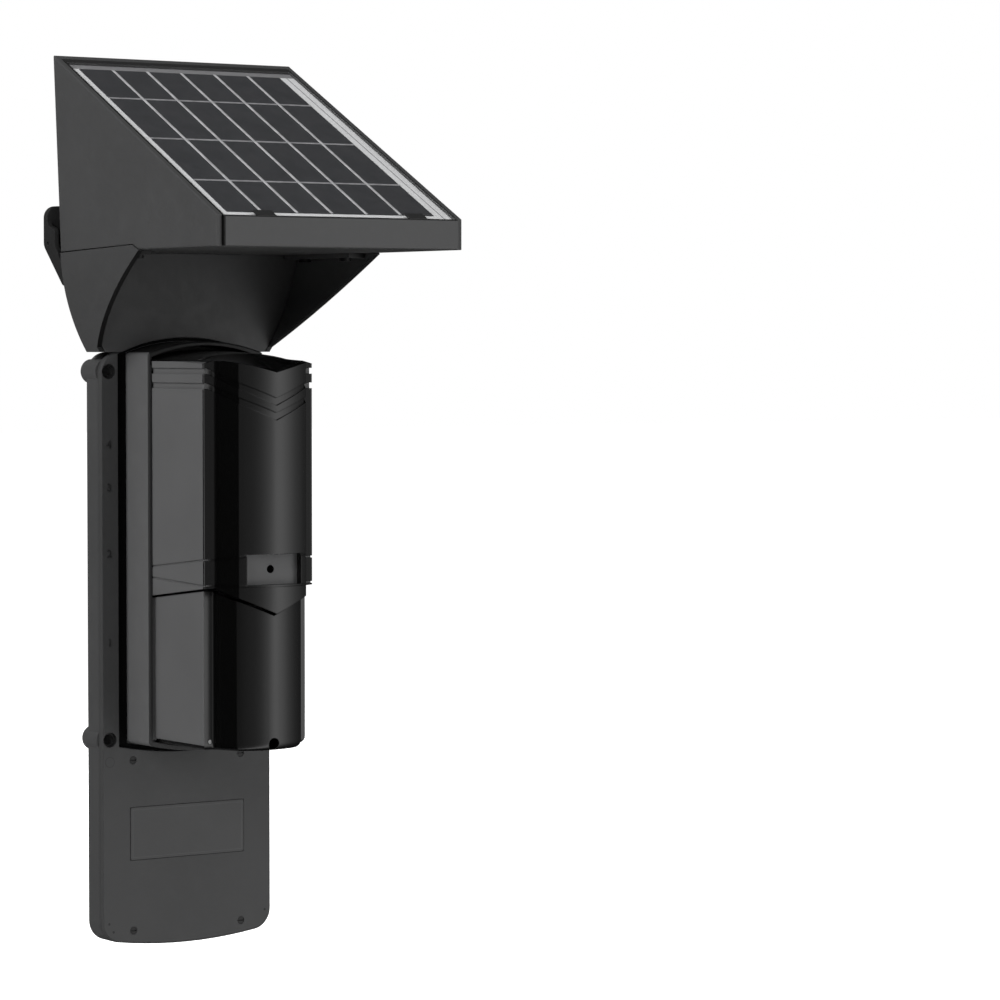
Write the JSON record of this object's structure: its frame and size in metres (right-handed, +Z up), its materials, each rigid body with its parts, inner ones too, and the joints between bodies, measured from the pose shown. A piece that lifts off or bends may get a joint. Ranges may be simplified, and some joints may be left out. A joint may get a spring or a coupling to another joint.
{
  "type": "infrared beam detector",
  "caption": "Wall-mounted infrared beam detector with a wedge-shaped solar head on flared cheeks, a tall back plate and a ridged two-part cover over the optics.",
  "frame": {"origin": "middle of the four wall screws, on the wall plane", "axes": "+Z up, -Y the way the detector looks, +X to the right seen from the front"},
  "size_m": [0.121, 0.1401, 0.3787],
  "materials": {
    "housing_plastic": "fine grained dark grey moulded plastic",
    "frame_plastic": "smooth dark grey moulded plastic",
    "body_plastic": "satin dark grey moulded plastic",
    "cover_plastic": "satin near-black plastic that infrared passes",
    "bracket_coat": "dark grey powder coat",
    "screw_steel": "dull zinc-plated steel",
    "sheet_white": "white backing sheet",
    "cell_silicon": "dark blue-black silicon",
    "panel_clear": "clear cover",
    "label_foil": "bare satin grey label foil",
    "optics_black": "black glass-filled plastic",
    "lens_red": "dark red moulded lens",
    "board_green": "green solder mask",
    "terminal_plastic": "green terminal body",
    "terminal_metal": "plated brass",
    "switch_black": "black switch body",
    "plunger_white": "white acetal",
    "pipe_clear": "clear moulded light guide",
    "light_lens": "diffused light-emitting diode",
    "cell_wrap": "blue shrink wrap",
    "holder_black": "black holder plastic",
    "contact_steel": "nickel-plated spring steel",
    "grommet_rubber": "black rubber"
  },
  "bodies": {
    "housing": {"back_housing": "housing_plastic", "front_panel": "housing_plastic", "left_cheek": "housing_plastic", "right_cheek": "housing_plastic", "head_shell": "housing_plastic", "battery_door": "housing_plastic", "panel_frame": "frame_plastic", "panel_clips": "frame_plastic", "body_base": "body_plastic", "upper_cover": "cover_plastic", "lower_cover": "cover_plastic", "rear_bracket": "bracket_coat", "panel_screws": "screw_steel", "ledge_screws": "screw_steel", "frame_screws": "screw_steel", "bracket_screws": "screw_steel", "body_screws": "screw_steel", "carrier_screws": "screw_steel", "cover_screw": "screw_steel", "solar_sheet": "sheet_white", "solar_cells": "cell_silicon", "solar_cover": "panel_clear", "label_plate": "label_foil", "optics_carrier": "optics_black", "main_board": "board_green", "radio_board": "board_green", "charge_board": "board_green", "terminal_block": "terminal_plastic", "terminal_screws": "terminal_metal", "antenna": "terminal_metal", "tamper_switch": "switch_black", "light_pipe": "pipe_clear", "status_light": "light_lens", "battery_cells": "cell_wrap", "battery_holder": "holder_black", "battery_contacts": "contact_steel", "cable_grommet": "grommet_rubber", "body_seal": "grommet_rubber"},
    "upper_turntable": {"upper_yoke": "optics_black"},
    "upper_optics": {"upper_barrel": "optics_black", "upper_lens": "lens_red", "upper_diode_board": "board_green"},
    "lower_turntable": {"lower_yoke": "optics_black"},
    "lower_optics": {"lower_barrel": "optics_black", "lower_lens": "lens_red", "lower_diode_board": "board_green"},
    "tamper": {"tamper_plunger": "plunger_white"}
  },
  "joints": [
    {"name": "upper_turn", "type": "hinge", "parent": "housing", "child": "upper_turntable", "pos_m": [0, -0.051, 0.0448], "axis": [0, 0, 1], "range_deg": [-90, 90]},
    {"name": "upper_tilt", "type": "hinge", "parent": "upper_turntable", "child": "upper_optics", "pos_m": [0, -0.051, 0.0448], "axis": [1, 0, 0], "range_deg": [-10, 10]},
    {"name": "lower_turn", "type": "hinge", "parent": "housing", "child": "lower_turntable", "pos_m": [0, -0.051, -0.032], "axis": [0, 0, 1], "range_deg": [-90, 90]},
    {"name": "lower_tilt", "type": "hinge", "parent": "lower_turntable", "child": "lower_optics", "pos_m": [0, -0.051, -0.032], "axis": [1, 0, 0], "range_deg": [-10, 10]},
    {"name": "tamper_press", "type": "slide", "parent": "housing", "child": "tamper", "axis": [0, 0, 1], "range_m": [0, 0.001], "stiffness_N_per_m": 300, "springref_m": -0.001}
  ]
}
